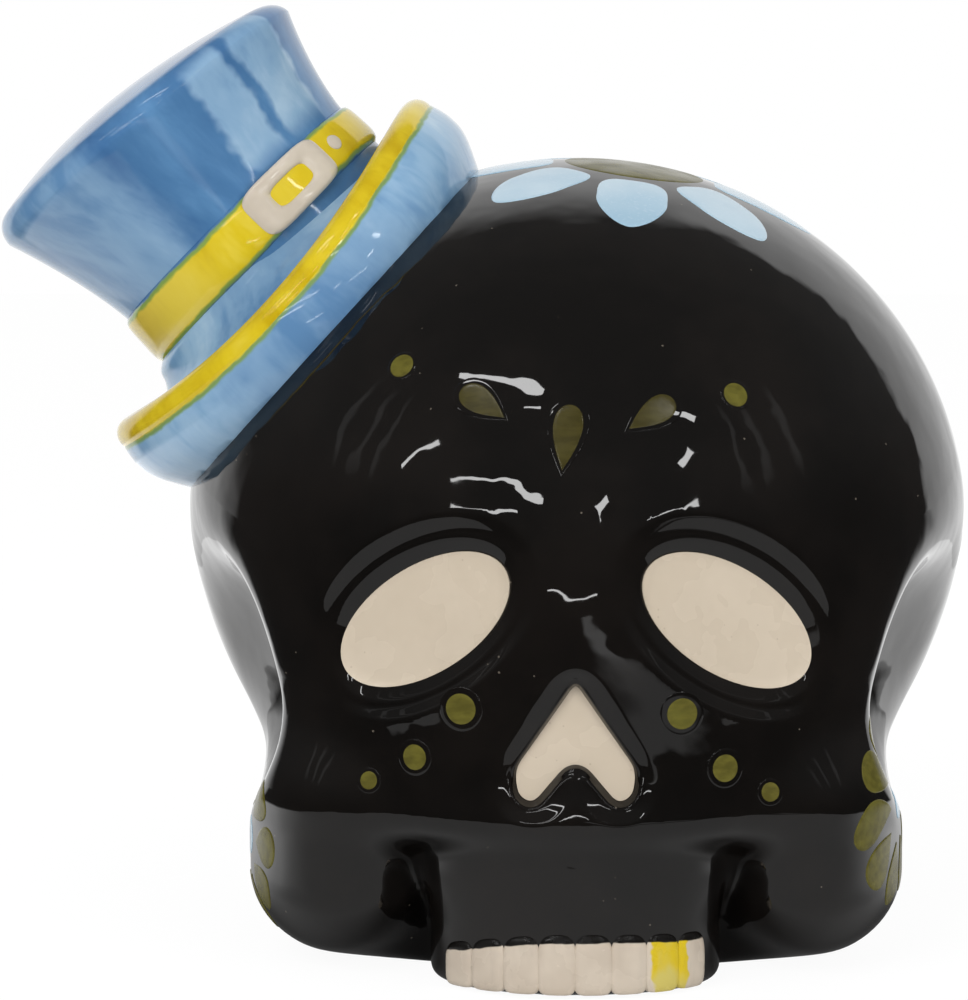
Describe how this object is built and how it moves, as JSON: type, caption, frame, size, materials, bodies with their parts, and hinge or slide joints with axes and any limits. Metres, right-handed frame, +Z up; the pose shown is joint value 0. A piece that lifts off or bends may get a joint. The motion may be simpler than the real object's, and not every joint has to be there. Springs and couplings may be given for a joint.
{
  "type": "sugar skull coin bank",
  "caption": "Glossy hollow ceramic sugar skull coin bank with a tilted top hat, inset eye and nose panels, a row of teeth, a coin slot and a pull-out base stopper.",
  "frame": {"origin": "on the ground, under the middle of the bounding box of the whole piece", "axes": "+Z up, -Y the way the face looks, +X the skull's own left, away from the hat"},
  "size_m": [0.174, 0.1494, 0.1645],
  "materials": {
    "black_glaze": "high-gloss black glaze",
    "cream_glaze": "satin cream glaze",
    "gold_glaze": "gloss gold-yellow glaze",
    "blue_glaze": "gloss brushed blue glaze",
    "yellow_glaze": "gloss brushed yellow glaze",
    "stopper_rubber": "matt dark grey rubber"
  },
  "bodies": {
    "bank": {"skull_shell": "black_glaze", "eye_panel_left": "cream_glaze", "eye_panel_right": "cream_glaze", "nose_panel": "cream_glaze", "tooth_left_1": "cream_glaze", "tooth_left_2": "cream_glaze", "tooth_left_3": "cream_glaze", "tooth_left_4": "cream_glaze", "tooth_right_1": "cream_glaze", "tooth_right_2": "cream_glaze", "tooth_right_3": "gold_glaze", "tooth_right_4": "cream_glaze", "hat_crown": "blue_glaze", "hat_brim": "blue_glaze", "brim_piping": "yellow_glaze", "hat_band": "yellow_glaze", "hat_buckle": "cream_glaze"},
    "stopper": {"base_stopper": "stopper_rubber"}
  },
  "joints": [
    {"name": "stopper_pull", "type": "slide", "parent": "bank", "child": "stopper", "axis": [0, 0, -1], "range_m": [0, 0.03]}
  ]
}
